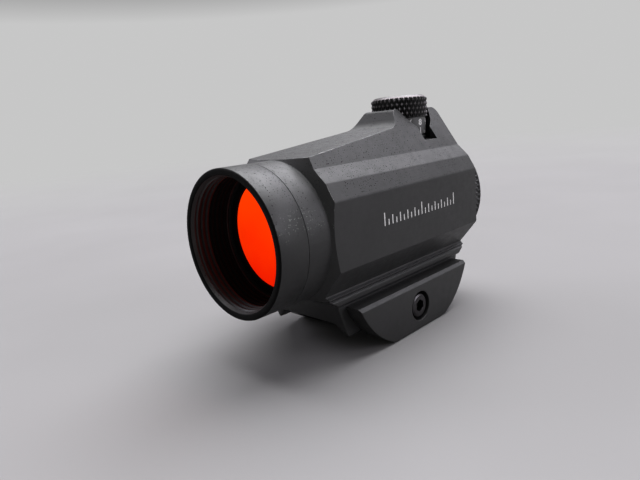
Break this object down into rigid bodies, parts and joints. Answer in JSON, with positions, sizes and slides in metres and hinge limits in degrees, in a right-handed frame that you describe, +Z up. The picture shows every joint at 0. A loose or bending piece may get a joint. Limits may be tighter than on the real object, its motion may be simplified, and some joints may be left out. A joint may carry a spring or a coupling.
{
  "type": "red dot sight",
  "caption": "Compact tube red dot sight on a low rail mount, with knurled turrets on top and right, rotary brightness switch and a side clamp bolt.",
  "frame": {"origin": "in the plane of the mount's rail seat, midway along it, in the plane of symmetry", "axes": "+Z up, square to the rail seat; -Y towards the target, so the optical axis runs along Y; +X towards the user's left, the side with the clamp bolt"},
  "size_m": [0.04, 0.0675, 0.0516],
  "materials": {
    "black_anodised": "matte anodised, bead blasted",
    "knob_black": "matte anodised, knurled",
    "dial_grey": "satin grey with white marks",
    "inner_black": "flat black",
    "coated_glass": "orange-red reflecting coating",
    "clear_glass": "anti-reflection coated",
    "rubber": "matte",
    "black_steel": "black oxide",
    "bright_steel": "ground",
    "spring_steel": "drawn",
    "brass": "turned",
    "battery_steel": "nickel plated",
    "circuit_green": "solder mask",
    "black_plastic": "moulded",
    "emitter": "clear epoxy",
    "amber_film": "polyimide film",
    "white_marking": "white paint of the dial numbers and scale marks"
  },
  "bodies": {
    "sight_body": {"housing": "black_anodised", "objective_bezel": "black_anodised", "objective_o_ring": "rubber", "pivot_pins": "bright_steel", "return_spring": "spring_steel", "ocular_o_ring": "rubber", "ocular_lens": "clear_glass", "ocular_lens_ring": "inner_black", "mount_base": "black_anodised", "recoil_key": "black_steel", "base_screws": "black_steel", "thread_insert": "bright_steel", "guide_pins": "bright_steel", "plate_springs": "spring_steel", "elevation_bushing": "brass", "elevation_o_ring": "rubber", "elevation_detent_ball": "bright_steel", "elevation_detent_spring": "spring_steel", "windage_bushing": "brass", "windage_o_ring": "rubber", "windage_detent_ball": "bright_steel", "windage_detent_spring": "spring_steel", "circuit_board": "circuit_green", "board_screws": "bright_steel", "driver_chip": "black_plastic", "switch_pivot": "bright_steel", "switch_detent_ball": "bright_steel", "switch_detent_spring": "spring_steel"},
    "gimbal": {"pivot_ring": "inner_black", "tilt_pins": "bright_steel"},
    "optic_tube": {"inner_tube": "inner_black", "objective_lens_front": "coated_glass", "objective_lens_rear": "clear_glass", "objective_lens_ring": "inner_black", "led_holder": "inner_black", "led_emitter": "emitter", "led_ribbon": "amber_film"},
    "elevation_turret": {"elevation_knob": "knob_black", "elevation_dial": "dial_grey", "elevation_lock_screw": "black_steel"},
    "elevation_spindle": {"elevation_spindle": "brass"},
    "windage_turret": {"windage_knob": "knob_black", "windage_dial": "dial_grey", "windage_lock_screw": "black_steel"},
    "windage_spindle": {"windage_spindle": "brass"},
    "brightness_switch": {"switch_knob": "black_anodised", "switch_o_ring": "rubber", "battery_sleeve": "black_plastic", "battery": "battery_steel", "negative_contact": "spring_steel"},
    "cap_seal": {"battery_cap_o_ring": "rubber"},
    "battery_cap": {"battery_cap": "black_anodised", "positive_contact": "spring_steel"},
    "eyepiece_seal": {"eyepiece_o_ring": "rubber"},
    "eyepiece_ring": {"eyepiece_ring": "black_anodised"},
    "clamp_jaw": {"clamp_plate": "black_anodised"},
    "clamp_bolt": {"clamp_screw": "black_steel"}
  },
  "joints": [
    {"name": "elevation_turn", "type": "hinge", "parent": "sight_body", "child": "elevation_turret", "pos_m": [0, 0.01595, 0.0196], "axis": [0, 0, 1], "range_deg": [-360, 360]},
    {"name": "elevation_travel", "type": "slide", "parent": "elevation_turret", "child": "elevation_spindle", "axis": [0, 0, 1], "range_m": [-0.0005, 0.0005]},
    {"name": "windage_turn", "type": "hinge", "parent": "sight_body", "child": "windage_turret", "pos_m": [0, 0.01595, 0.0196], "axis": [-1, 0, 0], "range_deg": [-360, 360]},
    {"name": "windage_travel", "type": "slide", "parent": "windage_turret", "child": "windage_spindle", "axis": [-1, 0, 0], "range_m": [-0.0005, 0.0005]},
    {"name": "windage_tilt", "type": "hinge", "parent": "sight_body", "child": "gimbal", "pos_m": [0, -0.0203, 0.0196], "axis": [0, 0, 1], "range_deg": [-0.8, 0.8], "deforming": ["return_spring"]},
    {"name": "elevation_tilt", "type": "hinge", "parent": "gimbal", "child": "optic_tube", "pos_m": [0, -0.0203, 0.0196], "axis": [1, 0, 0], "range_deg": [-0.8, 0.8]},
    {"name": "brightness_turn", "type": "hinge", "parent": "sight_body", "child": "brightness_switch", "pos_m": [0, -0.01, 0.0196], "axis": [-1, 0, 0], "range_deg": [0, 330]},
    {"name": "cap_travel", "type": "slide", "parent": "brightness_switch", "child": "cap_seal", "axis": [-1, 0, 0], "range_m": [0, 0.0015]},
    {"name": "cap_turn", "type": "hinge", "parent": "cap_seal", "child": "battery_cap", "pos_m": [0, -0.01, 0.0196], "axis": [-1, 0, 0], "range_deg": [0, 720]},
    {"name": "eyepiece_travel", "type": "slide", "parent": "sight_body", "child": "eyepiece_seal", "axis": [0, 1, 0], "range_m": [0, 0.0015]},
    {"name": "eyepiece_turn", "type": "hinge", "parent": "eyepiece_seal", "child": "eyepiece_ring", "pos_m": [0, 0.0273, 0.0196], "axis": [0, 1, 0], "range_deg": [0, 720]},
    {"name": "jaw_travel", "type": "slide", "parent": "sight_body", "child": "clamp_jaw", "axis": [1, 0, 0], "range_m": [0, 0.002], "deforming": ["plate_springs"]},
    {"name": "bolt_turn", "type": "hinge", "parent": "clamp_jaw", "child": "clamp_bolt", "pos_m": [0, 0, -0.00152], "axis": [1, 0, 0], "range_deg": [0, 1440]}
  ],
  "couplings": [
    {"joint": "elevation_turn", "follows": "elevation_travel", "rad_per_m": 12566},
    {"joint": "elevation_tilt", "follows": "elevation_travel", "rad_per_m": 27.586},
    {"joint": "windage_turn", "follows": "windage_travel", "rad_per_m": 12566},
    {"joint": "windage_tilt", "follows": "windage_travel", "rad_per_m": 27.586},
    {"joint": "cap_turn", "follows": "cap_travel", "rad_per_m": 8377},
    {"joint": "eyepiece_turn", "follows": "eyepiece_travel", "rad_per_m": 8377},
    {"joint": "bolt_turn", "follows": "jaw_travel", "rad_per_m": 12566}
  ]
}
